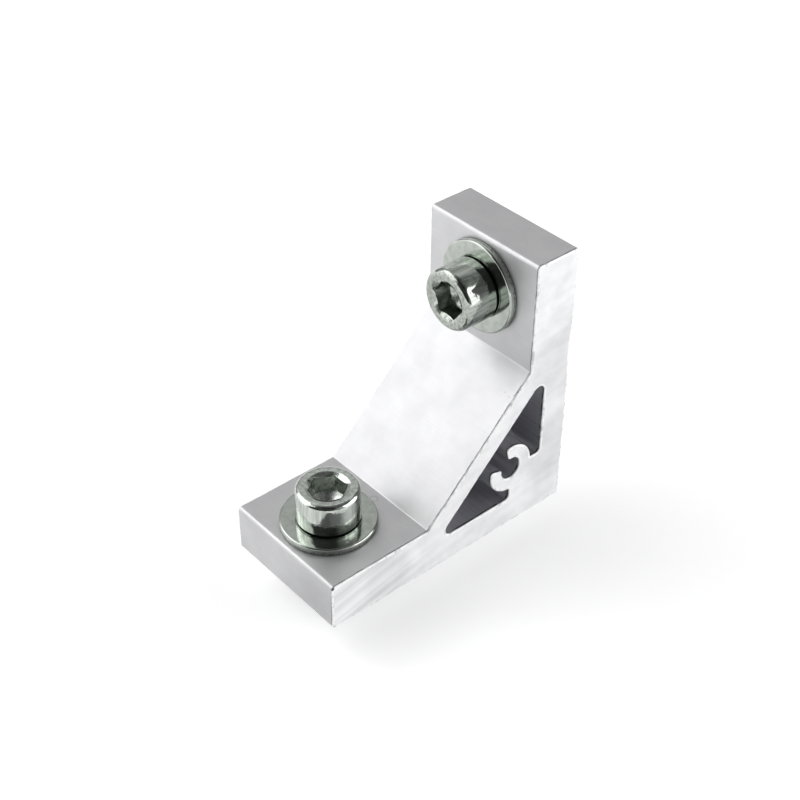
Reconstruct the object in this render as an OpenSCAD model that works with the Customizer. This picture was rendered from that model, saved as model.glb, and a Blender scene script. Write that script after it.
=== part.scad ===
// Corner bracket sawn from an aluminium extrusion, with its two socket screws and flat washers.
// The outer corner of the two legs is the origin. The foot runs along -X and the riser up +Z.
// The section is drawn in X and Z, and the sawn width is centred on Y.

/* [Legs] */
// Length of each leg, from the outer corner to its end
leg_len = 48; // [46:0.5:60]
// Thickness of each leg
leg_t = 8.5; // [7.5:0.1:10]
// Flat length on each leg, from its end to the foot of the diagonal
leg_free = 19; // [18.5:0.1:21]
// Width that the extrusion is sawn to
bracket_w = 23.5; // [17:0.5:40]
// Radius on the long outer edges of the section
edge_r = 0.5; // [0.2:0.05:1]

/* [Cavity] */
// Thickness of the diagonal web
web_t = 3.7; // [2.5:0.1:4.2]
// Wall between the cavity and each mounting face
cavity_wall = 5.2; // [4:0.1:5.8]
// Radius in the two sharp ends of the cavity
apex_r = 1.25; // [0.6:0.05:1.6]
// Radius in the corner of each pocket beside the screw port
pocket_r = 0.9; // [0.3:0.05:0.9]

/* [Screw port] */
// Inner diameter of the screw port
port_d = 3.9; // [3:0.1:4.5]
// Wall of the screw port
port_wall = 2.35; // [1.8:0.05:2.6]
// Angle that the mouth of the screw port leaves open
port_mouth = 62; // [40:1:80]
// Gap between the screw port and the diagonal web
port_gap = 2; // [1.2:0.1:2.6]

/* [Screws] */
// Thread diameter
screw_d = 6; // [5:0.5:6]
// Length under the head
screw_len = 16; // [14:1:25]
// Length of the bare neck between the head and the thread
neck_len = 2; // [1.4:0.1:3]
// How much thinner the bare neck is than the thread
neck_relief = 0.65; // [0.4:0.05:0.9]
// Chamfer at the end of the thread
tip_chamfer = 0.7; // [0.3:0.1:1.2]
// Diameter of the head
head_d = 10.2; // [9.5:0.1:12]
// Height of the head
head_h = 6; // [5:0.1:7]
// Radius round the top of the head
head_round = 0.6; // [0.3:0.05:1.2]
// Chamfer round the underside of the head
head_chamfer = 0.3; // [0.1:0.05:0.5]
// Width across flats of the hexagon socket
socket_af = 5.3; // [4:0.1:5.5]
// Depth of the hexagon socket
socket_depth = 3.2; // [2.6:0.1:4]
// How far the countersink at the mouth of the socket stands outside its corners
mouth_lead = 0.5; // [0.1:0.05:0.5]
// Angle of that countersink
mouth_angle = 120; // [100:5:140]
// Angle of the drill point under the socket
drill_angle = 120; // [100:5:140]
// How far the foot's screw is turned, which sets where its hexagon points
foot_turn = 32; // [0:1:60]
// How far the riser's screw is turned
riser_turn = 26; // [0:1:60]

/* [Seats] */
// Distance from the end of a leg to its screw
end_dist = 8.8; // [8:0.1:10]
// How much wider the hole in the leg is than the thread
hole_clearance = 2.4; // [1:0.1:3]
// Outer diameter of the washer
washer_d = 15.4; // [13:0.1:16]
// Thickness of the washer
washer_t = 1.2; // [0.8:0.1:2]
// How much wider the hole in the washer is than the thread
washer_clearance = 0.4; // [0.2:0.1:0.8]
// Radius round the stamped upper edge of the washer
washer_round = 0.3; // [0.1:0.05:0.4]

/* [Hidden] */
$fn = 96;
// Overrun of a cutting shape past the surface that it opens
over = 1;
// Where the diagonal meets each leg, measured from the outer corner
web_end = leg_len - leg_free;
// Distance of the web's two faces from the outer corner, square to the diagonal
web_out = (web_end + leg_t) / sqrt(2);
web_in = web_out - web_t;
// Outer radius of the screw port, and the distance of its centre from each mounting face
port_r = port_d / 2 + port_wall;
port_pos = (web_in - port_gap - port_r) / sqrt(2);
// Distance of each screw's axis from the outer corner
screw_pos = leg_len - end_dist;
// Radius of the hexagon socket at its corners and at its flats, and of its countersunk mouth
socket_r = socket_af / sqrt(3);
socket_flat_r = socket_af / 2;
mouth_r = socket_r + mouth_lead;
// Heights of the cones that shape the mouth and the drill point, each from its tip to its rim
mouth_cone = mouth_r / tan(mouth_angle / 2);
drill_cone = socket_flat_r / tan(drill_angle / 2);

// Draws the same thing on the other leg, by mirroring in the plane that halves the corner
module other_leg() {
  mirror([1, 1]) children();
}

// What rounding takes off a square corner, whose metal lies on the far side of both axes
module edge_round() {
  difference() {
    translate([-over, -over]) square(edge_r + over);
    translate([edge_r, edge_r]) circle(edge_r);
  }
}

// Rounding at the end of the foot
module foot_rounds() {
  translate([-leg_len, 0]) edge_round();
  translate([-leg_len, leg_t]) rotate(-90) edge_round();
}

// Outline of the two legs and the diagonal between them
module outline() {
  difference() {
    polygon([
      [0, 0],
      [0, leg_len],
      [-leg_t, leg_len],
      [-leg_t, web_end],
      [-web_end, leg_t],
      [-leg_len, leg_t],
      [-leg_len, 0]
    ]);
    rotate(90) edge_round();
    foot_rounds();
    other_leg() foot_rounds();
  }
}

// The triangle between the two walls and the web, with its two sharp ends rounded
module cavity_triangle() {
  // Centre of the circle that rounds the end in the riser
  apex_x = -cavity_wall - apex_r;
  apex_z = (web_in - apex_r) * sqrt(2) + apex_x;
  // How far the point where that circle meets the web lies from its centre, along X and along Z
  lean = apex_r / sqrt(2);
  polygon([
    [-cavity_wall, cavity_wall],
    [-cavity_wall, apex_z],
    [apex_x, apex_z],
    [apex_x - lean, apex_z + lean],
    [-apex_z - lean, -apex_x + lean],
    [-apex_z, -apex_x],
    [-apex_z, cavity_wall]
  ]);
  translate([apex_x, apex_z]) circle(apex_r);
  translate([-apex_z, -apex_x]) circle(apex_r);
}

// The round left in the corner of a pocket, between its wall and its floor
module pocket_fillet() {
  translate([-cavity_wall, port_pos]) difference() {
    translate([-pocket_r, -over]) square([pocket_r + over, pocket_r + over]);
    translate([-pocket_r, pocket_r]) circle(pocket_r);
  }
}

// Solid metal that stays inside the triangle: the corner block, the port's wall and two fillets
module cavity_metal() {
  translate([-port_pos, 0]) square(port_pos);
  translate([-port_pos, port_pos]) circle(port_r);
  pocket_fillet();
  other_leg() pocket_fillet();
}

// The bore of the screw port and its mouth, which points square to the web
module port_opening() {
  reach = port_r + port_gap / 2;
  half_mouth = reach * tan(port_mouth / 2);
  translate([-port_pos, port_pos]) {
    circle(d = port_d);
    rotate(135) polygon([[0, 0], [reach, -half_mouth], [reach, half_mouth]]);
  }
}

// The whole extruded section
module bracket_section() {
  difference() {
    outline();
    difference() {
      cavity_triangle();
      cavity_metal();
    }
    port_opening();
  }
}

// Puts a fastener on the foot, with its seat on the upper face
module on_foot() {
  translate([-screw_pos, 0, leg_t]) children();
}

// Puts a fastener on the riser, with its seat on the inner face
module on_riser() {
  translate([-leg_t, 0, screw_pos]) rotate([0, -90, 0]) children();
}

// The drilled hole through a leg, seen from its seat
module leg_hole() {
  translate([0, 0, -leg_t - over]) cylinder(h = leg_t + 2 * over, d = screw_d + hole_clearance);
}

// Flat washer with its underside on the seat
module washer() {
  difference() {
    rotate_extrude() {
      square([washer_d / 2, washer_t - washer_round]);
      square([washer_d / 2 - washer_round, washer_t]);
      translate([washer_d / 2 - washer_round, washer_t - washer_round]) circle(washer_round);
    }
    translate([0, 0, -over]) cylinder(h = washer_t + 2 * over, d = screw_d + washer_clearance);
  }
}

// Head of the screw from its bearing face up, with a rounded top edge
module screw_head() {
  rotate_extrude() {
    polygon([
      [0, 0],
      [head_d / 2 - head_chamfer, 0],
      [head_d / 2, head_chamfer],
      [head_d / 2, head_h - head_round],
      [0, head_h - head_round]
    ]);
    square([head_d / 2 - head_round, head_h]);
    translate([head_d / 2 - head_round, head_h - head_round]) circle(head_round);
  }
}

// Bare neck, thread at its full diameter, and chamfered tip, below the bearing face of the head
module screw_shank() {
  rotate_extrude() polygon([
    [0, over],
    [(screw_d - neck_relief) / 2, over],
    [(screw_d - neck_relief) / 2, -neck_len],
    [screw_d / 2, -neck_len],
    [screw_d / 2, tip_chamfer - screw_len],
    [screw_d / 2 - tip_chamfer, -screw_len],
    [0, -screw_len]
  ]);
}

// Hexagon socket with a countersunk mouth and the cone that the drill left
module socket() {
  translate([0, 0, head_h - socket_depth]) {
    cylinder(h = socket_depth + over, r = socket_r, $fn = 6);
    translate([0, 0, -drill_cone]) cylinder(h = drill_cone, r1 = 0, r2 = socket_flat_r);
  }
  translate([0, 0, head_h - mouth_cone])
    cylinder(h = mouth_cone + over, r1 = 0, r2 = (mouth_cone + over) * tan(mouth_angle / 2));
}

// Socket head cap screw, seated on the washer
module screw(turn) {
  translate([0, 0, washer_t]) rotate(turn) difference() {
    union() {
      screw_head();
      screw_shank();
    }
    socket();
  }
}

module bracket() {
  color("silver") difference() {
    rotate([90, 0, 0]) linear_extrude(bracket_w, center = true) bracket_section();
    on_foot() leg_hole();
    on_riser() leg_hole();
  }
}

module foot_washer() {
  color("lightgray") on_foot() washer();
}

module foot_screw() {
  color("darkgray") on_foot() screw(foot_turn);
}

module riser_washer() {
  color("lightgray") on_riser() washer();
}

module riser_screw() {
  color("darkgray") on_riser() screw(riser_turn);
}

bracket();
foot_washer();
foot_screw();
riser_washer();
riser_screw();
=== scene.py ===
"""Looks of the corner bracket, a sawn aluminium extrusion with a plated screw and washer in each leg.

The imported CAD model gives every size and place. This script makes a finer surface for each of its pieces,
dresses them in procedural metals, and sets up the floor, the light and the camera.
"""

import logging
import math
from dataclasses import dataclass, field
from enum import IntEnum

import bpy
import numpy as np
from bpy.types import ID, Material, Node, NodeSocket, NodeTree, Object, World
from mathutils import Matrix, Vector
from mathutils.geometry import delaunay_2d_cdt


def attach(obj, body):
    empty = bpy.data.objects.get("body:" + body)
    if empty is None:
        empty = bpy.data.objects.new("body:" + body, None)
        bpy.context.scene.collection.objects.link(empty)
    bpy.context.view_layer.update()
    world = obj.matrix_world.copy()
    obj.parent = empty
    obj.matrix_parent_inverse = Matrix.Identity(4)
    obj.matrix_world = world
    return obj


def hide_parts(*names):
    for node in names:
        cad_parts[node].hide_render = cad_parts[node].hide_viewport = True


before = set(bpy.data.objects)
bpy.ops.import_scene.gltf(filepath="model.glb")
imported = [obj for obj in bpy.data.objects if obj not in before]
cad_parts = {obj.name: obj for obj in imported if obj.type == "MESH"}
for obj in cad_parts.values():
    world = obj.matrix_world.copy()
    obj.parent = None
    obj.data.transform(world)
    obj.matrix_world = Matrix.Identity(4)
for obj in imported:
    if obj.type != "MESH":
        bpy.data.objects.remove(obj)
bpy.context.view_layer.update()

log = logging.getLogger("corner_bracket")

MM = 0.001
# Radius over height of a cone of 120 degrees, as a drill or a countersink leaves it
CONE_SLOPE = math.tan(math.radians(60))

Pair = tuple[float, float]
Point = tuple[float, float, float]


# Helpers for curves and meshes


def arc(centre: Pair, radius: float, start: float, end: float, steps: int) -> np.ndarray:
    """Points on a circular arc.

    Each point is the centre plus the radius times (cos, sin) of an angle that runs evenly from start to end.

    Args:
        centre: Centre of the circle.
        radius: Radius of the circle.
        start: First angle, in degrees.
        end: Last angle, in degrees.
        steps: Number of stretches between points.

    Returns:
        An array of steps + 1 points.
    """
    angle = np.radians(np.linspace(start, end, steps + 1))
    return np.column_stack([centre[0] + radius * np.cos(angle), centre[1] + radius * np.sin(angle)])


def steps_round(points: np.ndarray) -> tuple[np.ndarray, np.ndarray]:
    """The step from each point of a closed loop to the next, and its length."""
    step = np.roll(points, -1, axis=0) - points
    return step, np.linalg.norm(step, axis=1)


def full_turn(around: int) -> np.ndarray:
    """Angles in radians that split a full turn evenly, from zero."""
    return np.linspace(0, 2 * np.pi, around, endpoint=False)


def subdivide_closed(points: np.ndarray, spacing: float) -> np.ndarray:
    """Drops the doubles in a closed loop, and splits its long stretches evenly.

    A stretch of length d becomes the whole number of equal parts nearest above d / spacing.

    Args:
        points: Corners of the loop, in order.
        spacing: Longest stretch that may stay.

    Returns:
        The loop with its extra points.
    """
    points = points[steps_round(points)[1] > 1e-4]
    step, length = steps_round(points)
    parts = np.maximum(1, np.ceil(length / spacing)).astype(int)
    owner = np.repeat(np.arange(len(points)), parts)
    first = np.repeat(np.cumsum(parts) - parts, parts)
    share = (np.arange(parts.sum()) - first) / parts[owner]
    return points[owner] + share[:, None] * step[owner]


def outward_normals(points: np.ndarray) -> np.ndarray:
    """Unit normals on the right-hand side of a closed loop, where the air is.

    The tangent is the mean of the two unit steps that meet in a point, and the normal is (tz, -tx).

    Args:
        points: Loop with the metal on its left.

    Returns:
        One unit normal for each point.
    """
    step, length = steps_round(points)
    step /= length[:, None]
    tangent = step + np.roll(step, 1, axis=0)
    tangent /= np.linalg.norm(tangent, axis=1, keepdims=True)
    return np.column_stack([tangent[:, 1], -tangent[:, 0]])


def wander(points: np.ndarray, spacing: float, seed: int) -> np.ndarray:
    """A smooth random value from 0 to 1 along a closed loop.

    Random knots stand at the given spacing along the loop, and a cosine blend joins each to the next.

    Args:
        points: Loop to run along.
        spacing: Distance between knots, in the loop's unit.
        seed: Seed of the knots.

    Returns:
        One value for each point.
    """
    length = steps_round(points)[1]
    place = np.cumsum(length) - length
    count = max(3, int(length.sum() / spacing))
    knots = np.random.default_rng(seed).random(count)
    where = place / length.sum() * count
    low = np.floor(where).astype(int) % count
    blend = 0.5 - 0.5 * np.cos(np.pi * (where - np.floor(where)))
    return knots[low] * (1 - blend) + knots[(low + 1) % count] * blend


def turn_about_z(radius: np.ndarray, height: np.ndarray) -> np.ndarray:
    """Rings about Z from the radius and height of each point.

    Radius r and height z at angle a become (r cos a, r sin a, z). The angles run evenly over a full turn.

    Args:
        radius: One row for each ring, and one column for each angle.
        height: The same for the heights, or one column where a ring is level.

    Returns:
        An array of rings, points and coordinates.
    """
    angle = full_turn(radius.shape[1])
    height = np.broadcast_to(height, radius.shape)
    return np.stack([radius * np.cos(angle), radius * np.sin(angle), height], axis=-1)


def revolve(outline: np.ndarray, around: int) -> np.ndarray:
    """Level rings about Z from a row of radii and heights, each with a given number of points."""
    return turn_about_z(np.repeat(outline[:, :1], around, axis=1), outline[:, 1:])


def add_object(name: str, data: ID) -> Object:
    """Makes an object of a mesh, a lamp or a camera, and links it into the scene.

    Args:
        name: Name of the object.
        data: Its mesh, lamp or camera.

    Returns:
        The new object.
    """
    made = bpy.data.objects.new(name, data)
    bpy.context.scene.collection.objects.link(made)
    return made


@dataclass
class Shell:
    """Points and faces of one piece, gathered part by part."""

    points: list[np.ndarray] = field(default_factory=list)
    faces: list[list[int]] = field(default_factory=list)
    finishes: list[int] = field(default_factory=list)

    def add_points(self, points: np.ndarray) -> int:
        """Adds points and returns the index of the first.

        Args:
            points: One row for each point.

        Returns:
            The index of the first point.
        """
        first = sum(map(len, self.points))
        self.points.append(points)
        return first

    def add_faces(self, corners: np.ndarray, finish: int) -> None:
        """Adds faces that share one finish, given as one row of corners each."""
        self.faces.extend(corners.tolist())
        self.finishes.extend([finish] * len(corners))

    def add_tube(self, rows: np.ndarray, finishes: list[int]) -> int:
        """Adds closed rings and the faces between each ring and the next.

        A face looks along the way from ring to ring crossed with the way round the ring.

        Args:
            rows: Array of rings, points of a ring, and coordinates.
            finishes: Finish of each band between two rings. As many as there are rings also joins the last
                ring to the first.

        Returns:
            The index of the first point.
        """
        count, around = rows.shape[:2]
        first = self.add_points(rows.reshape(-1, 3))
        column = np.arange(around)
        nearby = np.roll(column, -1)
        for band, finish in enumerate(finishes):
            low = first + band * around
            high = first + (band + 1) % count * around
            corners = [low + column, high + column, high + nearby, low + nearby]
            self.add_faces(np.column_stack(corners), finish)
        return first

    def add_spindle(self, rows: np.ndarray, finishes: list[int], ends: Pair) -> None:
        """Adds rings about Z, and closes each end with a fan of triangles to a point on the axis.

        Args:
            rows: Array of rings, points of a ring, and coordinates.
            finishes: Finish of each band. The fans take those of the first band and the last.
            ends: Heights of the point before the first ring and of the one after the last.
        """
        around = rows.shape[1]
        first = self.add_tube(rows, finishes)
        column = np.arange(around)
        nearby = np.roll(column, -1)
        last = first + (len(rows) - 1) * around
        fans = (
            (ends[0], finishes[0], first + column, first + nearby),
            (ends[1], finishes[-1], last + nearby, last + column),
        )
        for height, finish, one, other in fans:
            pole = self.add_points(np.array([[0.0, 0.0, height]]))
            self.add_faces(np.column_stack([np.full(around, pole), one, other]), finish)

    def to_object(self, name: str, placed: Matrix, sharp_angle: float) -> Object:
        """Makes a Blender object with its place in its mesh.

        Args:
            name: Name of the piece.
            placed: Turn and shift from the piece's own axes to the shared frame, in millimetres.
            sharp_angle: Edges sharper than this many degrees stay sharp.

        Returns:
            The new object, linked into the scene.
        """
        points = np.vstack(self.points)
        turn = np.array(placed.to_3x3())
        shift = np.array(placed.translation)
        mesh = bpy.data.meshes.new(name)
        mesh.from_pydata(((points @ turn.T + shift) * MM).tolist(), [], self.faces)
        mesh.polygons.foreach_set("material_index", np.array(self.finishes, dtype=np.int32))
        mesh.validate()
        mesh.shade_smooth()
        mesh.set_sharp_from_angle(angle=math.radians(sharp_angle))
        return add_object(name, mesh)


class Piece:
    """A sub-assembly that is built as one mesh and then dressed."""

    def dress(self, piece: Object, finishes: list[Material]) -> None:
        """Gives the piece its finishes, in the order of its material slots."""
        for finish in finishes:
            piece.data.materials.append(finish)


# Helpers for nodes


def linear_colour(code: str) -> tuple[float, float, float, float]:
    """Turns an sRGB hex colour into the linear values that a shader takes.

    Args:
        code: Six hex digits after a #.

    Returns:
        Red, green and blue, and an alpha of one.
    """
    parts = [int(code[i : i + 2], 16) / 255 for i in (1, 3, 5)]
    linear = [c / 12.92 if c <= 0.04045 else ((c + 0.055) / 1.055) ** 2.4 for c in parts]
    return (linear[0], linear[1], linear[2], 1.0)


def feed(node: Node, inputs: dict[str | int, object]) -> None:
    """Sets each input of a node, by name or number, to a value or a hex colour, or links it to a socket.

    A node in place of a socket stands for the first of its outputs that is in use.

    Args:
        node: Node whose inputs are set.
        inputs: Value, hex colour, node or output socket for each input.
    """
    for key, value in inputs.items():
        if isinstance(value, str):
            value = linear_colour(value)
        if isinstance(value, Node):
            value = next(output for output in value.outputs if output.enabled)
        if isinstance(value, NodeSocket):
            node.id_data.links.new(value, node.inputs[key])
        else:
            node.inputs[key].default_value = value


def add_node(tree: NodeTree, kind: str, inputs: dict | None = None, **settings: object) -> Node:
    """Adds a shader node, sets its properties, and fills or links its inputs.

    Args:
        tree: Node tree that takes the node.
        kind: Blender's name of the node type, without ShaderNode in front.
        inputs: What each input takes, as for feed.
        **settings: Properties of the node.

    Returns:
        The new node.
    """
    made = tree.nodes.new("ShaderNode" + kind)
    for name, value in settings.items():
        setattr(made, name, value)
    feed(made, inputs or {})
    return made


def carry(value: Node | NodeSocket, start: float, end: float, low: float = 0.0, high: float = 1.0) -> dict:
    """Inputs that make a Map Range node carry the span from start to end onto low to high."""
    return {"Value": value, "From Min": start, "From Max": end, "To Min": low, "To Max": high}


def empty_tree(owner: Material | World) -> NodeTree:
    """Switches a material or a world to nodes, and empties its tree.

    Args:
        owner: The material or the world.

    Returns:
        Its empty node tree.
    """
    owner.use_nodes = True
    owner.node_tree.nodes.clear()
    return owner.node_tree


@dataclass(frozen=True)
class Surface:
    """What a finish needs to draw its grain: the node tree, the shader, and the place in millimetres."""

    tree: NodeTree
    shader: Node
    place: Node

    def set_gloss(self, value: Node, span: Pair, ends: Pair) -> None:
        """Lets the roughness run between two ends while a value runs over a span."""
        feed(self.shader, {"Roughness": add_node(self.tree, "MapRange", carry(value, *span, *ends))})

    def set_relief(self, height: Node, strength: float, depth: float) -> None:
        """Bends the light as if a height from 0 to 1 stood out by a depth in millimetres."""
        bump = {"Strength": strength, "Distance": depth * MM, "Height": height}
        feed(self.shader, {"Normal": add_node(self.tree, "Bump", bump)})


@dataclass(frozen=True)
class Grain:
    """A noise that is sized in millimetres.

    Size is the width of its patches. Detail and roughness say how many finer noises lie over it and how
    strong they are. Stretch scales the place along each axis, and a small value draws the patches out.
    """

    size: float
    detail: float
    roughness: float
    stretch: Point = (1.0, 1.0, 1.0)

    def build(self, on: Surface) -> Node:
        """Adds the noise, whose value runs from 0 to 1.

        Args:
            on: Surface that takes the noise.

        Returns:
            The noise node.
        """
        drawn_out = add_node(on.tree, "Mapping", {"Vector": on.place, "Scale": self.stretch})
        sizes = {"Scale": 1 / self.size, "Detail": self.detail, "Roughness": self.roughness}
        return add_node(on.tree, "TexNoise", {"Vector": drawn_out, **sizes})


@dataclass(frozen=True)
class Mark:
    """A darker ring about a point: dirt for some marks, painted shade for others.

    A ring of radius zero is a round spot. Sizes in millimetres.
    """

    centre: Point
    radius: float
    width: float
    strength: float
    colour: str = "#3A3B3D"

    def build(self, on: Surface, colour: Node) -> Node:
        """Darkens a colour, in full where the place is within half the line's width of the ring.

        Args:
            on: Surface that takes the mark.
            colour: Node with the colour so far.

        Returns:
            The node with the darkened colour.
        """
        away = add_node(on.tree, "VectorMath", {0: on.place, 1: self.centre}, operation="DISTANCE")
        off_ring = add_node(on.tree, "Math", {0: away, 1: self.radius}, operation="SUBTRACT")
        off = add_node(on.tree, "Math", {0: off_ring}, operation="ABSOLUTE")
        fall = carry(off, self.width / 2, self.width, self.strength, 0.0)
        share = add_node(on.tree, "MapRange", fall, interpolation_type="SMOOTHSTEP")
        return add_node(on.tree, "Mix", {"Factor": share, "A": colour, "B": self.colour}, data_type="RGBA")


# Finishes


@dataclass(frozen=True)
class MetalFinish:
    """A bare or plated metal whose grain is set in millimetres.

    While the pattern's value runs over the span, the colour runs from dark to light. Relief is the strength
    and the depth with which the pattern stands out. Without a pattern the colour is even.
    """

    name: str
    light: str
    roughness: float
    dark: str = "#000000"
    metallic: float = 1.0
    marks: tuple[Mark, ...] = ()
    pattern: Grain | None = None
    span: Pair = (0.0, 1.0)
    relief: Pair | None = None

    def build(self) -> Material:
        """Makes the material and lets the subclass add its grain.

        Returns:
            The new material.
        """
        made = bpy.data.materials.new(self.name)
        tree = empty_tree(made)
        shader = add_node(tree, "BsdfPrincipled", {"Metallic": self.metallic, "Roughness": self.roughness})
        add_node(tree, "OutputMaterial", {"Surface": shader})
        where = add_node(tree, "TexCoord").outputs["Object"]
        in_mm = add_node(tree, "Mapping", {"Vector": where, "Scale": (1 / MM, 1 / MM, 1 / MM)})
        self.grain(Surface(tree, shader, in_mm))
        made.diffuse_color = linear_colour(self.light)
        return made

    def grain(self, on: Surface) -> None:
        """Adds the colour, gloss and relief of the surface.

        Args:
            on: Surface that the grain is drawn on.
        """
        if self.pattern is None:
            feed(on.shader, {"Base Color": self.light})
            return
        value = self.pattern.build(on)
        self.paint(on, value)
        if self.relief is not None:
            on.set_relief(value, *self.relief)

    def paint(self, on: Surface, value: Node) -> None:
        """Colours the metal from dark to light while a value runs over the span, and adds the marks.

        Args:
            on: Surface that takes the colour.
            value: Node whose value picks the colour.
        """
        share = add_node(on.tree, "MapRange", carry(value, *self.span))
        mixed = {"Factor": share, "A": self.dark, "B": self.light}
        colour = add_node(on.tree, "Mix", mixed, data_type="RGBA")
        for mark in self.marks:
            colour = mark.build(on, colour)
        feed(on.shader, {"Base Color": colour})


@dataclass(frozen=True)
class ExtrudedSkin(MetalFinish):
    """Aluminium 6063 as it leaves the die, matt and clear.

    The eye sees a satin silver with faint lines along the extrusion, soft cloudy patches and a few specks.
    """

    name: str = "extruded_aluminium_satin"
    light: str = "#D5D5D6"
    dark: str = "#CBCBCD"
    roughness: float = 0.46
    metallic: float = 0.86
    # Painted shade in a broad cloud on the front corner of the foot's end, a small curl beside its washer,
    # and three specks on the diagonal below the riser
    marks: tuple[Mark, ...] = (
        Mark((-50.0, -11.75, -2.0), 0.0, 15.0, 0.2),
        Mark((-30.5, -0.5, 8.5), 0.62, 0.1, 0.32),
        Mark((-11.8, -9.6, 25.7), 0.0, 0.13, 0.4),
        Mark((-12.0, -10.7, 25.5), 0.0, 0.2, 0.22),
        Mark((-11.6, -11.3, 25.9), 0.0, 0.14, 0.4),
    )
    # The die's lines are 0.2 mm wide, and are drawn out forty times along Y
    die_lines: Grain = Grain(0.22, 3.0, 0.6, (1.0, 0.025, 1.0))
    clouds: Grain = Grain(4.5, 4.0, 0.55)
    share_of_lines: float = 0.25
    span: Pair = (0.3, 0.7)
    # How far the roughness goes to either side of its middle
    swing: float = 0.02

    def grain(self, on: Surface) -> None:
        """Clouds and die lines set the colour and the gloss, and the lines alone stand out.

        Args:
            on: Surface that the grain is drawn on.
        """
        lines = self.die_lines.build(on)
        mixed = {"Factor": self.share_of_lines, "A": self.clouds.build(on), "B": lines}
        both = add_node(on.tree, "Mix", mixed)
        self.paint(on, both)
        on.set_gloss(both, self.span, (self.roughness + self.swing, self.roughness - self.swing))
        on.set_relief(lines, 0.06, 0.02)


@dataclass(frozen=True)
class SawnFace(MetalFinish):
    """Bare aluminium cut by a circular saw.

    The eye sees a bright, nearly white matt face with faint grey streaks along the arcs of the saw's teeth.
    """

    name: str = "sawn_aluminium_matt"
    light: str = "#FBFBFC"
    dark: str = "#E0E1E3"
    roughness: float = 0.7
    metallic: float = 0.7
    # Faint broad painted shade in the middle of the foot's side and above the heel
    marks: tuple[Mark, ...] = (
        Mark((-37.0, -11.75, 4.0), 0.0, 6.0, 0.08),
        Mark((-2.5, -11.75, 12.0), 0.0, 9.0, 0.13),
        Mark((-2.5, -11.75, 28.0), 0.0, 9.0, 0.11),
    )
    saw_centre: Point = (25.0, 0.0, -300.0)
    # Real teeth leave marks far finer than 1.9 mm, which are drawn as coarse as they need to show
    tooth_mark: float = 1.9
    patches: Grain = Grain(3.5, 3.0, 0.55)
    # The arcs show on the last stretch of the foot, and hardly elsewhere: its ends in X and their shares
    arc_ends: Pair = (-40.0, -28.0)
    arc_share: Pair = (0.7, 0.14)

    def grain(self, on: Surface) -> None:
        """The saw's arcs are circles about a far centre, so their noise depends on the distance from it.

        Args:
            on: Surface that the grain is drawn on.
        """
        tree = on.tree
        off = add_node(tree, "VectorMath", {0: on.place, 1: self.saw_centre}, operation="SUBTRACT")
        in_plane = add_node(tree, "VectorMath", {0: off, 1: (1.0, 0.0, 1.0)}, operation="MULTIPLY")
        radius = add_node(tree, "VectorMath", {0: in_plane}, operation="LENGTH")
        sizes = {"W": radius, "Scale": 1 / self.tooth_mark, "Detail": 2.0, "Roughness": 0.5}
        teeth = add_node(tree, "TexNoise", sizes, noise_dimensions="1D")
        arcs = add_node(tree, "MapRange", carry(teeth, 0.34, 0.62))
        soft = add_node(tree, "MapRange", carry(self.patches.build(on), 0.3, 0.65, 0.45, 0.95))
        along = add_node(tree, "SeparateXYZ", {0: on.place}).outputs["X"]
        clear = add_node(tree, "MapRange", carry(along, *self.arc_ends, *self.arc_share))
        both = add_node(tree, "Mix", {"Factor": clear, "A": soft, "B": arcs})
        self.paint(on, both)
        on.set_relief(both, 0.1, 0.03)


@dataclass(frozen=True)
class BurredEdge(MetalFinish):
    """The thin lip of bare metal that the saw turns over an edge.

    The eye sees a bright line, a little uneven, with painted shade as a dark nick in two corners.
    """

    name: str = "burred_aluminium_edge"
    light: str = "#FCFCFC"
    dark: str = "#D8D9DB"
    roughness: float = 0.6
    metallic: float = 0.7
    # Painted shade of dark nicks in the two front corners of the foot's end
    marks: tuple[Mark, ...] = (
        Mark((-47.85, -11.75, 8.3), 0.0, 0.42, 0.92),
        Mark((-47.9, -11.75, 0.15), 0.0, 0.3, 0.6),
    )
    # Uneven patches along the edge
    pattern: Grain = Grain(1.3, 2.0, 0.6)
    span: Pair = (0.36, 0.5)


@dataclass(frozen=True)
class ShadedLine(MetalFinish):
    """Aluminium close beside a sawn edge, darkened with painted shade of the turned-over lip.

    The eye sees a thin dark grey line, broken here and there.
    """

    name: str = "aluminium_line_painted_shade"
    light: str = "#C6C7C9"
    dark: str = "#67686B"
    roughness: float = 0.5
    # The painted shade fades where this coarse noise is high
    pattern: Grain = Grain(1.6, 3.0, 0.6)
    span: Pair = (0.46, 0.66)


@dataclass(frozen=True)
class CavityWall(MetalFinish):
    """Aluminium inside the extrusion, where the die's tongue drew it.

    The eye sees a dark grey metal with long lines into the depth.
    """

    name: str = "extruded_aluminium_inside"
    light: str = "#D4D4D8"
    dark: str = "#C8C8CD"
    roughness: float = 0.4
    metallic: float = 0.85
    # The tongue's lines run along Y and are broader than those of the outside
    pattern: Grain = Grain(0.5, 3.0, 0.6, (1.0, 0.03, 1.0))
    span: Pair = (0.35, 0.65)
    relief: Pair = (0.08, 0.03)


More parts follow.
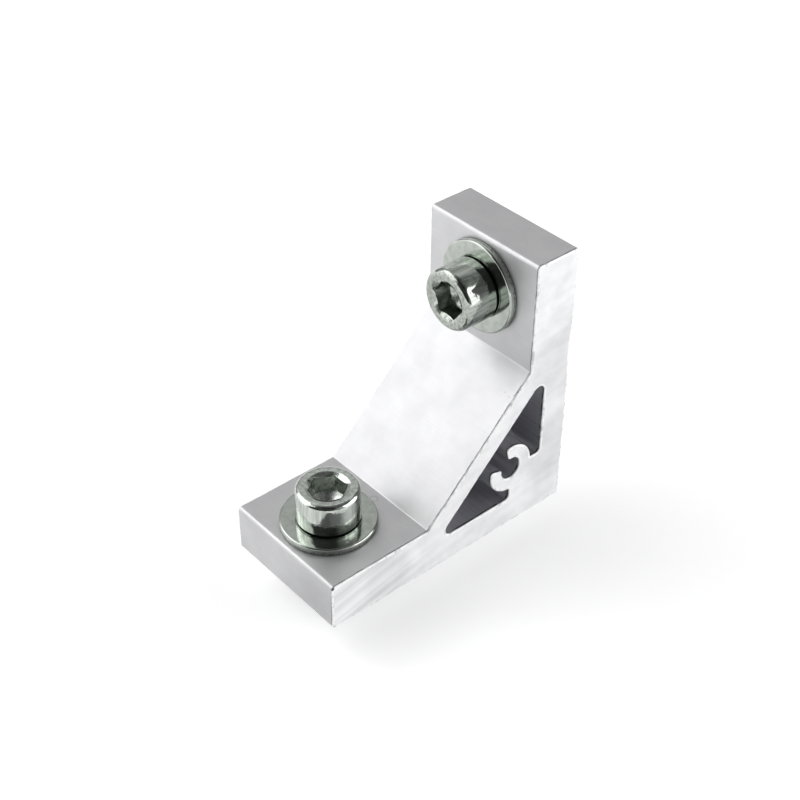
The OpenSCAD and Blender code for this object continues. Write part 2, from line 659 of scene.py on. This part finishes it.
@dataclass(frozen=True)
class BrightZinc(MetalFinish):
    """Steel plated with bright zinc and passivated clear.

    The eye sees a near mirror with a slight green-grey tint, uneven as the forged steel under the plating.
    """

    light: str = "#C9CEC8"
    dark: str = "#A9AFA8"
    roughness: float = 0.07
    # Specks darken the metal where their noise is high
    span: Pair = (0.66, 0.42)
    dent: float = 0.9
    dent_depth: float = 0.09
    speck: float = 0.55
    # Scale of the specks' place along each axis, small along the axis of a turned piece
    stretch: Point = (1.0, 1.0, 1.0)

    def grain(self, on: Surface) -> None:
        """Low waves bend the reflections, and specks darken and dull them here and there.

        Args:
            on: Surface that the grain is drawn on.
        """
        waves = Grain(self.dent, 2.5, 0.5).build(on)
        specks = Grain(self.speck, 2.5, 0.55, self.stretch).build(on)
        self.paint(on, specks)
        on.set_gloss(specks, (0.35, 0.7), (self.roughness - 0.02, self.roughness + 0.05))
        on.set_relief(waves, 0.35, self.dent_depth)


@dataclass(frozen=True)
class PaintedGapShade(MetalFinish):
    """Painted shade on plated steel, in the narrow gaps under a head and a washer.

    The eye sees a thin black line.
    """

    name: str = "plated_steel_painted_gap_shade"
    light: str = "#2E302E"
    roughness: float = 0.6


@dataclass(frozen=True)
class PaleFloor:
    """Plain matt white floor that shows as white to the camera and keeps the shadow.

    The lift is a glow that only the camera and the mirroring metal see. It rises from the bracket outwards,
    between two distances in metres, so that the floor is white up to its horizon.
    """

    name: str = "studio_floor_matt_white"
    seen: str = "#FFFFFF"
    lights: str = "#EDEEEE"
    distance: Pair = (0.12, 0.45)
    lift: Pair = (0.34, 0.9)
    # How much of the lift is seen in metal and through glass
    mirrored: float = 0.92

    def build(self) -> Material:
        """Makes the material, with the lift for camera, glossy and transmission rays only.

        Returns:
            The new material.
        """
        made = bpy.data.materials.new(self.name)
        tree = empty_tree(made)
        ray = add_node(tree, "LightPath").outputs
        rays = {0: ray["Is Glossy Ray"], 1: ray["Is Transmission Ray"]}
        indirect = add_node(tree, "Math", rays, operation="MAXIMUM")
        in_metal = add_node(tree, "Math", {0: indirect, 1: self.mirrored}, operation="MULTIPLY")
        shown = add_node(tree, "Math", {0: ray["Is Camera Ray"], 1: in_metal}, operation="MAXIMUM")
        colour = add_node(tree, "Mix", {"Factor": shown, "A": self.lights, "B": self.seen}, data_type="RGBA")
        matt = add_node(tree, "BsdfDiffuse", {"Color": colour})
        where = add_node(tree, "TexCoord").outputs["Object"]
        away = add_node(tree, "VectorMath", {0: where}, operation="LENGTH")
        rise = carry(away, *self.distance, *self.lift)
        lift = add_node(tree, "MapRange", rise, interpolation_type="SMOOTHSTEP")
        strength = add_node(tree, "Math", {0: shown, 1: lift}, operation="MULTIPLY")
        glow = add_node(tree, "Emission", {"Strength": strength})
        add_node(tree, "OutputMaterial", {"Surface": add_node(tree, "AddShader", {0: matt, 1: glow})})
        return made


# The sawn extrusion


class BracketFinish(IntEnum):
    """Finishes of the bracket, in the order of its material slots."""

    SKIN = 0
    SAWN = 1
    BURR = 2
    INSIDE = 3
    SHADE = 4


@dataclass
class Bracket(Piece):
    """The sawn extrusion: two legs, a diagonal web, and a cavity with a C-shaped screw port.

    Sizes in millimetres.
    """

    leg: float = 48.0
    thick: float = 8.5
    web_end: float = 29.0
    width: float = 23.5
    edge_radius: float = 0.6
    inner_radius: float = 0.25
    wall: float = 5.2
    web_inside: float = 22.817
    apex_radius: float = 1.25
    pocket_radius: float = 0.9
    port_place: float = 11.679
    port_outer: float = 4.3
    port_inner: float = 1.95
    port_mouth: float = 62.0
    tip_radius: float = 0.45
    neck_radius: float = 0.3
    screw_place: float = 39.2
    hole_radius: float = 4.2
    hole_chamfer: float = 0.3
    hole_steps: int = 72
    # Longest stretch between two points of the section
    spacing: float = 0.4
    sharp_angle: float = 32.0
    # Width of the broken edge: its least, and what its slow wander, its fine wander and its chips add
    edge_width: tuple[float, float, float, float] = (0.1, 0.1, 0.05, 0.35)
    # Distance between the knots of the slow wander and of the fine wander
    wander_steps: Pair = (5.0, 0.7)
    burr_height: float = 0.05
    # How far the burr's lip reaches in over the sawn face, and where it ends at most
    lip: float = 0.2
    lip_end: float = 0.4
    # Width of the painted shade line beside the edge, on the outside and in the cavity
    line_outside: float = 0.16
    line_inside: float = 0.3
    # Chipped stretch of the riser's back, chipped reach of the heel, and how fast either fades in
    chipped_back: Pair = (25.0, 35.5)
    chipped_heel: float = 3.0
    chip_fade: float = 0.5

    def whole_loop(self, half: list[np.ndarray]) -> np.ndarray:
        """Adds the other half of a loop, mirrored in the plane that halves the corner."""
        upper = np.vstack(half)
        return subdivide_closed(np.vstack([upper, -upper[::-1, ::-1]]), self.spacing)

    def outline(self) -> np.ndarray:
        """The outer loop of the section in X and Z, with rounded corners and the metal on its left.

        Returns:
            One row of X and Z for each point.
        """
        e, f, leg, t, w = self.edge_radius, self.inner_radius, self.leg, self.thick, self.web_end
        # The small fillet where the diagonal meets a leg spans 45 degrees
        reach = f * math.tan(math.radians(22.5))
        half = [
            arc((-e, e), e, -45, 0, 5),
            arc((-e, leg - e), e, 0, 90, 10),
            arc((-t + e, leg - e), e, 90, 180, 10),
            arc((-t - f, w + reach), f, 0, -45, 4),
        ]
        return self.whole_loop(half)

    def cavity(self) -> np.ndarray:
        """The inner loop of the section: apex, wall, pocket, port wall and bore, with the metal on its left.

        The tip of the port has two rounds. Each touches a circle about the port and the radial end face, so
        its centre stands one radius off both.

        Returns:
            One row of X and Z for each point.
        """
        w, p, q, n = self.wall, self.port_place, self.tip_radius, self.neck_radius
        big, small = self.port_outer, self.port_inner
        mouth = 135 - self.port_mouth / 2
        apex_z = (self.web_inside - self.apex_radius) * math.sqrt(2) - w - self.apex_radius
        outer_lean = math.degrees(math.asin(q / (big - q)))
        inner_lean = math.degrees(math.asin(q / (small + q)))
        # Rounds at the tip: centres at mouth angle less the lean, seen from the port's centre
        outer_centre = arc((-p, p), big - q, mouth - outer_lean, mouth - outer_lean, 0)[0]
        inner_centre = arc((-p, p), small + q, mouth - inner_lean, mouth - inner_lean, 0)[0]
        # Fillet between the pocket's floor and the port's wall: n above the floor and n outside the wall
        neck_x = math.sqrt((big + n) ** 2 - n**2)
        neck_lean = math.degrees(math.asin(n / (big + n)))
        half = [
            arc((-w - self.apex_radius, apex_z), self.apex_radius, 135, 0, 14),
            arc((-w - self.pocket_radius, p + self.pocket_radius), self.pocket_radius, 0, -90, 10),
            arc((-p + neck_x, p + n), n, 270, 180 + neck_lean, 5),
            arc((-p, p), big, neck_lean, mouth - outer_lean, 30),
            arc(tuple(outer_centre), q, mouth - outer_lean, mouth + 90, 8),
            arc(tuple(inner_centre), q, mouth + 90, mouth + 180 - inner_lean, 8),
            arc((-p, p), small, mouth - inner_lean, -45, 36),
        ]
        return self.whole_loop(half)

    def chipping(self, loop: np.ndarray) -> np.ndarray:
        """How much the saw chipped the front edge, from 0 to 1, along the riser's back and at the heel.

        Args:
            loop: Loop of the section.

        Returns:
            One value for each point.
        """
        x, z = loop[:, 0], loop[:, 1]
        start, end = self.chipped_back
        heel, fade = self.chipped_heel, self.chip_fade
        on_back = np.clip((x + 0.2) / 0.1, 0, 1)
        middle = np.clip((z - start) / fade, 0, 1) * np.clip((end - z) / fade, 0, 1)
        at_heel = np.clip((heel - z) / fade, 0, 1) * np.clip((x + heel) / fade, 0, 1)
        return np.maximum(on_back * middle, 0.8 * at_heel * (np.minimum(-x, z) < 0.1))

    def carry_along_y(
        self, shell: Shell, loop: np.ndarray, side: BracketFinish, seed: int
    ) -> tuple[np.ndarray, np.ndarray]:
        """Carries a loop of the section across the width, with a worn edge at both sawn ends.

        Each ring is the loop, moved by an amount along its normals, at one Y. The edge is a rounded break
        whose width wanders along the loop, with a low burr that stands proud of the sawn face.

        Args:
            shell: Takes the points and faces.
            loop: Loop of the section.
            side: Finish of the long surface.
            seed: Seed of the wander.

        Returns:
            Indices of the points of the first ring and of the last.
        """
        normal = outward_normals(loop)
        half = self.width / 2

        def ring(inset: np.ndarray, y: np.ndarray) -> np.ndarray:
            """One ring of the loop, set in by an amount along its normals, at y."""
            moved = loop - normal * inset[:, None]
            return np.column_stack([moved[:, 0], y, moved[:, 1]])

        none = np.zeros(len(loop))
        shaded = self.line_inside if side is BracketFinish.INSIDE else self.line_outside
        least, add_slow, add_fine, add_chip = self.edge_width
        slow_step, fine_step = self.wander_steps
        rings = []
        for end in (-1, 1):
            fine = wander(loop, fine_step, seed + end)
            slow = wander(loop, slow_step, seed + 7 * end + 20)
            chip = self.chipping(loop) * (end < 0)
            broken = least + add_slow * slow + add_fine * fine + add_chip * chip * fine
            burr = self.burr_height * np.clip(2 * fine * slow - 0.4 + chip * (1 - fine), 0, 1)
            lip = np.where(chip > 0, broken + self.lip, np.minimum(broken + self.lip, self.lip_end))
            one_end = [
                ring(lip, none + end * half),
                ring(broken, end * (half + burr)),
                ring(0.34 * broken, end * (half - 0.3 * broken + 0.5 * burr)),
                ring(none, end * (half - broken)),
                ring(none, end * (half - broken - shaded)),
            ]
            rings += one_end if end < 0 else one_end[::-1]
        edge = [BracketFinish.BURR] * 3
        # The painted shade line shows at the front end only
        finishes = edge + [BracketFinish.SHADE] + [side] * 2 + edge
        front = shell.add_tube(np.stack(rings), finishes) + np.arange(len(loop))
        return front, front + (len(rings) - 1) * len(loop)

    def add_cap(self, shell: Shell, rim: np.ndarray, hole: np.ndarray, front: bool) -> None:
        """Fills a sawn end between the outer ring and the cavity's ring with triangles.

        Args:
            shell: Holds both rings, and takes the faces.
            rim: Indices of the outer ring's points.
            hole: Indices of the cavity ring's points.
            front: Whether this is the end that looks along -Y.
        """
        index = np.concatenate([rim, hole])
        flat = np.vstack(shell.points)[index][:, [0, 2]]
        loops = np.split(np.arange(len(index)), [len(rim)])
        # The cavity's ring runs clockwise, and an area takes its corners anticlockwise
        areas = [loops[0].tolist(), loops[1][::-1].tolist()]
        made = delaunay_2d_cdt(list(map(Vector, flat.tolist())), [], areas, 1, 1e-6)
        # The metal is what lies in the outer loop alone, and made[5] says in which loops each triangle lies
        triangles = np.array([face for face, within in zip(made[2], made[5]) if within == [0]])
        corners = flat[triangles]
        first, second = corners[:, 1] - corners[:, 0], corners[:, 2] - corners[:, 0]
        turn = first[:, 0] * second[:, 1] - first[:, 1] * second[:, 0]
        # A face whose corners run anticlockwise in X and Z looks along -Y
        backwards = (turn > 0) != front
        triangles[backwards] = triangles[backwards][:, ::-1]
        shell.add_faces(index[triangles], BracketFinish.SAWN)

    def cut_hole(self, piece: Object, placed: Matrix) -> None:
        """Drills the screw's hole through one leg, with a light chamfer at both mouths.

        Each chamfer's cone of 45 degrees runs on 1 mm past the leg, so no ring of the drill lies in a face.

        Args:
            piece: The extrusion, already dressed.
            placed: Place of the leg's seat.
        """
        r, c, t = self.hole_radius, self.hole_chamfer, self.thick
        outline = np.array([[r + c + 1, 1], [r, -c], [r, -t + c], [r + c + 1, -t - 1]])
        shell = Shell()
        finishes = [BracketFinish.INSIDE] * (len(outline) - 1)
        shell.add_spindle(revolve(outline, self.hole_steps), finishes, (1.0, -t - 1))
        drill = shell.to_object("drill", placed, self.sharp_angle)
        cut = piece.modifiers.new("drill", "BOOLEAN")
        cut.operation = "DIFFERENCE"
        cut.solver = "EXACT"
        cut.object = drill
        bpy.context.view_layer.update()
        depsgraph = bpy.context.evaluated_depsgraph_get()
        drilled = bpy.data.meshes.new_from_object(piece.evaluated_get(depsgraph))
        piece.modifiers.clear()
        old = piece.data
        piece.data = drilled
        bpy.data.meshes.remove(old)
        bpy.data.objects.remove(drill)

    def build(self, seats: list[Matrix]) -> Object:
        """Builds and dresses the extrusion, then drills its two holes, which keep the finishes by slot.

        Args:
            seats: Places of the seats on both legs.

        Returns:
            The finished extrusion.
        """
        shell = Shell()
        outer = self.carry_along_y(shell, self.outline(), BracketFinish.SKIN, 3)
        inner = self.carry_along_y(shell, self.cavity(), BracketFinish.INSIDE, 11)
        for rim, hole, front in zip(outer, inner, (True, False)):
            self.add_cap(shell, rim, hole, front)
        piece = shell.to_object("sawn_bracket", Matrix.Identity(4), self.sharp_angle)
        finishes = (ExtrudedSkin(), SawnFace(), BurredEdge(), CavityWall(), ShadedLine())
        self.dress(piece, [finish.build() for finish in finishes])
        for seat in seats:
            self.cut_hole(piece, seat)
        piece.data.name = piece.name
        piece.data.shade_smooth()
        piece.data.set_sharp_from_angle(angle=math.radians(self.sharp_angle))
        return piece


# Screws and washers


class ScrewFinish(IntEnum):
    """Finishes of a screw, in the order of its material slots."""

    PLATED = 0
    RECESS = 1
    GAP_SHADE = 2


@dataclass
class SocketScrew(Piece):
    """M6 x 16 socket head cap screw, with Z out of the head and zero at the leg's seat.

    Sizes in millimetres.
    """

    seat: float = 1.2
    head_radius: float = 5.1
    head_height: float = 6.0
    head_round: float = 0.85
    head_chamfer: float = 0.42
    socket_flats: float = 5.5
    socket_depth: float = 3.2
    mouth_lead: float = 0.4
    # The drill left a cone a little narrower than the flats, which starts at a small ring
    drill_share: float = 0.98
    drill_tip: float = 0.3
    # Worn corner at the floor of the socket, and the edge where the wall meets the countersink
    floor_corner: float = 0.03
    wall_corner: float = 0.05
    # Width of the dull edge round the countersink's mouth
    mouth_edge: float = 0.09
    thread_radius: float = 3.0
    pitch: float = 1.0
    # Depth of the thread and its flats at crest and root, all over the pitch
    thread_depth: float = 0.6134
    crest: float = 0.125
    root: float = 0.25
    length: float = 16.0
    neck_length: float = 2.0
    neck_radius: float = 2.675
    tip_chamfer: float = 0.7
    around: int = 96
    rows_a_pitch: int = 18
    sharp_angle: float = 24.0

    def socket_rings(self) -> np.ndarray:
        """Rings from the drill point up the hexagon's walls to its countersunk mouth.

        The hexagon's radius is half its flats over the cosine of the angle from the nearest flat's middle.
        The mouth's cone meets the wall where its own radius has shrunk to the hexagon's.

        Returns:
            An array of rings, points and coordinates.
        """
        top = self.seat + self.head_height
        floor = top - self.socket_depth
        from_flat = np.mod(full_turn(self.around), np.pi / 3) - np.pi / 6
        hexagon = self.socket_flats / 2 / np.cos(from_flat)
        mouth = self.socket_flats / math.sqrt(3) + self.mouth_lead
        drill = self.socket_flats / 2 * self.drill_share
        depth = drill / CONE_SLOPE
        meets = top - (mouth - hexagon) / CONE_SLOPE
        low, high, edge = self.floor_corner, self.wall_corner, self.mouth_edge
        rows = [
            (self.drill_tip, floor - depth * (1 - self.drill_tip / drill)),
            (drill * 0.5, floor - depth * 0.5),
            (drill, floor),
            (hexagon - low, floor),
            (hexagon, floor + low),
            (hexagon, meets - 0.06),
            (hexagon + high, meets + high / CONE_SLOPE),
            (mouth - edge, top - edge / CONE_SLOPE),
            (mouth + high, top),
        ]
        radius, height = (np.stack([np.broadcast_to(v, self.around) for v in side]) for side in zip(*rows))
        return turn_about_z(radius, height)

    def head_rings(self) -> np.ndarray:
        """Rings from the flat ring round the socket over the rounded rim and down to the bearing face.

        The side ends in a bright chamfer, and under it a gap 0.2 mm high runs round the bearing face, made
        dark with painted shade.

        Returns:
            An array of rings, points and coordinates.
        """
        radius, seat, rounding = self.head_radius, self.seat, self.head_round
        top = seat + self.head_height
        rim = arc((radius - rounding, top - rounding), rounding, 90, 0, 12)
        side = np.linspace(top - rounding, seat + self.head_chamfer, 8)[1:]
        walls = np.column_stack([np.full(len(side), radius), side])
        gap = [[radius - 0.14, seat + 0.2], [radius - 0.35, seat + 0.16], [radius - 0.45, seat]]
        under = np.array([*gap, [self.neck_radius + 0.3, seat]])
        return revolve(np.vstack([rim, walls, under]), self.around)

    def shank_rings(self) -> np.ndarray:
        """Rings of the bare neck and the M6 thread, down to the chamfered tip.

        The thread is a triangle wave of the height over the pitch less the angle over a turn, flat over an
        eighth of the pitch at its crests and a quarter at its roots. Its radius is never more than that of a
        cone at either end.

        Returns:
            An array of rings, points and coordinates.
        """
        neck_end = self.seat - self.neck_length
        tip = self.seat - self.length
        neck = np.array([[self.neck_radius, self.seat - 0.3], [self.neck_radius, neck_end]])
        rows = int((neck_end - tip) / self.pitch * self.rows_a_pitch)
        height = np.linspace(neck_end, tip, rows)[1:, None]
        phase = np.mod(height / self.pitch - full_turn(self.around) / (2 * np.pi), 1.0)
        wave = np.abs(2 * phase - 1)
        cut = np.clip((1 - self.crest - wave) / (1 - self.crest - self.root), 0, 1)
        radius = self.thread_radius - self.thread_depth * self.pitch * cut
        from_tip = (height - tip) + self.thread_radius - self.tip_chamfer
        from_neck = (neck_end - height) + self.neck_radius
        radius = np.minimum(radius, np.minimum(from_tip, from_neck))
        return np.concatenate([revolve(neck, self.around), turn_about_z(radius, height)])

    def build(self, name: str, placed: Matrix, turn: float) -> Object:
        """Builds the screw as one closed surface, turned about its axis and set on its seat.

        Args:
            name: Name of the piece.
            placed: Place of the leg's seat.
            turn: Turn about the screw's axis, in degrees.

        Returns:
            The new object.
        """
        socket, head, shank = self.socket_rings(), self.head_rings(), self.shank_rings()
        plated, recess, gap_shade = ScrewFinish
        # The recess ends where the wall meets the countersink, four rings before the end of the socket. The
        # countersink's sharp edge is as dull, and the gap between the last four rings of the
        # head is dark with painted shade
        in_gap = 3
        finishes = [recess] * (len(socket) - 4) + [plated] * 2 + [recess]
        finishes += [plated] * (len(head) - in_gap) + [gap_shade] * in_gap + [plated] * len(shank)
        point = float(socket[0, 0, 2]) - self.drill_tip / CONE_SLOPE
        shell = Shell()
        shell.add_spindle(np.concatenate([socket, head, shank]), finishes, (point, self.seat - self.length))
        turned = placed @ Matrix.Rotation(math.radians(turn), 4, "Z")
        return shell.to_object(name, turned, self.sharp_angle)


class WasherFinish(IntEnum):
    """Finishes of a washer, in the order of its material slots."""

    PLATED = 0
    TORN = 1
    GAP_SHADE = 2


@dataclass
class StampedWasher(Piece):
    """Flat washer stamped from sheet, with Z off the seat. Sizes in millimetres."""

    radius: float = 7.7
    hole_radius: float = 3.2
    thick: float = 1.2
    edge_round: float = 0.3
    edge_break: float = 0.06
    # Height at which the sheared part of the side ends, and how far the torn part below it stands back
    sheared: float = 0.62
    torn_back: float = 0.02
    around: int = 144
    sharp_angle: float = 30.0

    def build(self, name: str, placed: Matrix) -> Object:
        """Builds the washer as one closed outline carried round the axis.

        The punch shears the upper part of the side smooth and tears the lower part, which is duller.

        Args:
            name: Name of the piece.
            placed: Place of the leg's seat.

        Returns:
            The new object.
        """
        r, h, t, e, b = self.radius, self.hole_radius, self.thick, self.edge_round, self.edge_break
        torn_radius = r - self.torn_back
        bore = [[h, b], [h, t - 0.15], [h + 0.04, t - 0.04], [h + 0.15, t], [r - e - 0.6, t]]
        side = [[r, self.sheared], [torn_radius, self.sheared - 0.05], [torn_radius, b + 0.04]]
        under = [[r - b, 0.0], [h + b, 0.0]]
        rings = revolve(np.vstack([bore, arc((r - e, t - e), e, 90, 0, 7), side, under]), self.around)
        plated, torn, gap_shade = WasherFinish
        shell = Shell()
        # The torn band, then painted shade in the seat's gap, on the bottom edge and the bottom face
        shell.add_tube(rings, [plated] * (len(rings) - 4) + [torn, gap_shade, gap_shade, plated])
        return shell.to_object(name, placed, self.sharp_angle)


# The studio


@dataclass(frozen=True)
class SoftBox:
    """A rectangular lamp that points at the bracket. Distance and size are in metres."""

    name: str
    towards: Point
    distance: float
    size: Pair
    radiance: float

    def build(self, target: Vector) -> None:
        """Makes the lamp. A flat lamp of power P and area A has the radiance P over pi times A.

        Args:
            target: Point that the lamp looks at, in metres.
        """
        lamp = bpy.data.lights.new(self.name, "AREA")
        lamp.shape = "RECTANGLE"
        lamp.size, lamp.size_y = self.size
        lamp.energy = self.radiance * math.pi * self.size[0] * self.size[1]
        made = add_object(self.name, lamp)
        direction = Vector(self.towards).normalized()
        made.location = target + direction * self.distance
        made.rotation_euler = direction.to_track_quat("Z", "Y").to_euler()


@dataclass(frozen=True)
class DarkPart:
    """A dark part of the room: its direction, and how far off it in degrees it is fully dark and gone.

    Left is the share of the light that stays in its middle.
    """

    towards: Point
    full: float
    gone: float
    left: float

    def build(self, tree: NodeTree, where: NodeSocket, lit: Node) -> Node:
        """Dims a light in the direction of this part.

        Args:
            tree: The world's node tree.
            where: Direction that the light comes from.
            lit: Node with its strength so far.

        Returns:
            The node with the dimmed strength.
        """
        facing = add_node(tree, "VectorMath", {0: where, 1: self.towards}, operation="DOT_PRODUCT")
        gone, full = math.cos(math.radians(self.gone)), math.cos(math.radians(self.full))
        fall = carry(facing, gone, full, 1.0, self.left)
        share = add_node(tree, "MapRange", fall, interpolation_type="SMOOTHSTEP")
        return add_node(tree, "Math", {0: lit, 1: share}, operation="MULTIPLY")


@dataclass
class Studio:
    """Floor, lamps, world and camera. Target, distance and floor height are in millimetres."""

    target: Point = (-24.77, 0.0, 25.02)
    azimuth: float = -41.01
    elevation: float = 37.97
    roll: float = 0.40
    distance: float = 226.6
    lens: float = 66.69
    sensor: float = 36.0
    # A hair under the lowest point of the model, the end of the foot's screw
    floor_height: float = -6.32
    # Half the side of the floor, in metres
    floor_reach: float = 3.0
    # Radiance of the room at the horizon and overhead
    room: Pair = (0.4, 0.76)
    # One dark part lies behind the camera and one overhead
    dark_parts: tuple[DarkPart, ...] = (
        DarkPart((-0.686, -0.429, 0.588), 31.0, 53.0, 0.1),
        DarkPart((0.10, -0.25, 0.96), 22.0, 44.0, 0.2),
    )
    boxes: tuple[SoftBox, ...] = (
        SoftBox("soft_box_left_back", (-0.61, 0.60, 0.52), 0.5, (0.54, 0.54), 1.34),
        SoftBox("soft_box_right_front", (0.62, -0.68, 0.26), 0.9, (0.9, 0.82), 2.5),
        SoftBox("soft_box_back", (-0.2, 0.65, 0.73), 0.6, (0.36, 0.36), 1.2),
    )

    def build_camera(self) -> None:
        """Sets up the camera: its back looks along azimuth and elevation from the target, then it rolls."""
        az, el, roll = (math.radians(a) for a in (self.azimuth, self.elevation, self.roll))
        back = Vector((math.sin(az) * math.cos(el), -math.cos(az) * math.cos(el), math.sin(el)))
        level = Vector((math.cos(az), math.sin(az), 0.0))
        rise = back.cross(level)
        right = level * math.cos(roll) + rise * math.sin(roll)
        up = back.cross(right)
        camera = add_object("camera", bpy.data.cameras.new("camera"))
        camera.data.lens = self.lens
        camera.data.sensor_width = self.sensor
        camera.data.clip_start = 0.01
        camera.data.clip_end = 20.0
        turn = Matrix((right, up, back)).transposed().to_4x4()
        place = (Vector(self.target) + back * self.distance) * MM
        camera.matrix_world = Matrix.Translation(place) @ turn
        bpy.context.scene.camera = camera

    def build_floor(self) -> None:
        """Makes the floor as one wide square."""
        side, z = self.floor_reach, self.floor_height * MM
        corners = [(-side, -side, z), (side, -side, z), (side, side, z), (-side, side, z)]
        mesh = bpy.data.meshes.new("floor")
        mesh.from_pydata(corners, [], [(0, 1, 2, 3)])
        floor = add_object("floor", mesh)
        floor.data.materials.append(PaleFloor().build())

    def build_world(self) -> None:
        """Makes the world: white to the camera, and to all else a grey room with dark parts."""
        bpy.context.scene.world = bpy.data.worlds.new("studio")
        tree = empty_tree(bpy.context.scene.world)
        by_camera = add_node(tree, "LightPath").outputs["Is Camera Ray"]
        where = add_node(tree, "TexCoord").outputs["Generated"]
        height = add_node(tree, "SeparateXYZ", {0: where}).outputs["Z"]
        rise = carry(height, 0.0, 1.0, *self.room)
        lit = add_node(tree, "MapRange", rise, interpolation_type="SMOOTHSTEP")
        for part in self.dark_parts:
            lit = part.build(tree, where, lit)
        strength = add_node(tree, "Mix", {"Factor": by_camera, "A": lit, "B": 1.0})
        sky = add_node(tree, "Background", {"Color": "#FFFFFF", "Strength": strength})
        add_node(tree, "OutputWorld", {"Surface": sky})

    def build(self) -> None:
        """Builds the whole studio."""
        self.build_camera()
        self.build_floor()
        self.build_world()
        for box in self.boxes:
            box.build(Vector(self.target) * MM)
        bpy.context.scene.view_settings.view_transform = "Standard"


# The whole part


@dataclass
class CornerBracket:
    """The whole part, piece by piece, each in the place of its CAD node."""

    bracket: Bracket = field(default_factory=Bracket)
    screw: SocketScrew = field(default_factory=SocketScrew)
    washer: StampedWasher = field(default_factory=StampedWasher)
    # How far each screw is turned, in degrees, which sets where its hexagon points
    foot_turn: float = 32.0
    riser_turn: float = 26.0
    stamped: BrightZinc = BrightZinc(
        "zinc_plated_steel_stamped", "#B6BCB5", 0.12, "#A8AEA7", dent=2.4, dent_depth=0.06, speck=1.4
    )
    torn: BrightZinc = BrightZinc("zinc_plated_steel_torn", "#A3A8A2", 0.34, "#6E736D", dent=0.5, speck=0.4)
    # The specks on each head are drawn out along its own axis. The riser's screw is a darker copy of the
    # same plating, painted shade
    foot_turned: BrightZinc = BrightZinc("zinc_plated_steel_turned_foot", stretch=(1.0, 1.0, 0.1))
    riser_turned_painted_shade: BrightZinc = BrightZinc(
        "zinc_plated_steel_turned_riser_painted_shade", "#B2B8B1", dark="#8E948D", stretch=(0.1, 1.0, 1.0)
    )
    # The foot's socket is a lighter copy of the plating, painted light, and the riser's a darker one,
    # painted shade
    foot_recess_painted_light: BrightZinc = BrightZinc(
        "zinc_plated_steel_recess_foot_painted_light", "#CFD4CE", 0.3, "#9DA39C", dent=0.6
    )
    riser_recess_painted_shade: BrightZinc = BrightZinc(
        "zinc_plated_steel_recess_riser_painted_shade", "#A9AFA8", 0.2, "#7A8079", dent=0.6
    )

    def seats(self) -> tuple[Matrix, Matrix]:
        """Places of the seats on the foot and the riser in millimetres, each with Z out of the leg.

        Returns:
            The place of the foot's seat and that of the riser's.
        """
        far, thick = self.bracket.screw_place, self.bracket.thick
        foot = Matrix.Translation((-far, 0.0, thick))
        riser = Matrix.Translation((-thick, 0.0, far)) @ Matrix.Rotation(math.radians(-90), 4, "Y")
        return foot, riser

    def stand_in(self, piece: Object, node: str) -> None:
        """Puts a finished piece in the place of its CAD node and reports it.

        Args:
            piece: The finished piece.
            node: Name of its CAD node.
        """
        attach(piece, "root")
        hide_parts(node)
        piece.data.calc_loop_triangles()
        log.info("%s stands for %s with %d triangles", piece.name, node, len(piece.data.loop_triangles))

    def build(self) -> None:
        """Builds and dresses every piece."""
        foot, riser = self.seats()
        self.stand_in(self.bracket.build([foot, riser]), "bracket")
        gap_shade, stamped, torn = (finish.build() for finish in (PaintedGapShade(), self.stamped, self.torn))
        legs = (
            ("foot", foot, self.foot_turn, self.foot_turned, self.foot_recess_painted_light),
            ("riser", riser, self.riser_turn, self.riser_turned_painted_shade, self.riser_recess_painted_shade),
        )
        for leg, seat, turn, turned, recess in legs:
            washer = self.washer.build(f"{leg}_stamped_washer", seat)
            self.washer.dress(washer, [stamped, torn, gap_shade])
            self.stand_in(washer, f"{leg}_washer")
            screw = self.screw.build(f"{leg}_socket_screw", seat, turn)
            self.screw.dress(screw, [turned.build(), recess.build(), gap_shade])
            self.stand_in(screw, f"{leg}_screw")


def main() -> None:
    """Builds the studio and the part."""
    logging.basicConfig(level=logging.INFO, format="%(name)s: %(message)s")
    Studio().build()
    CornerBracket().build()
    bpy.context.view_layer.update()


if __name__ == "__main__":
    main()
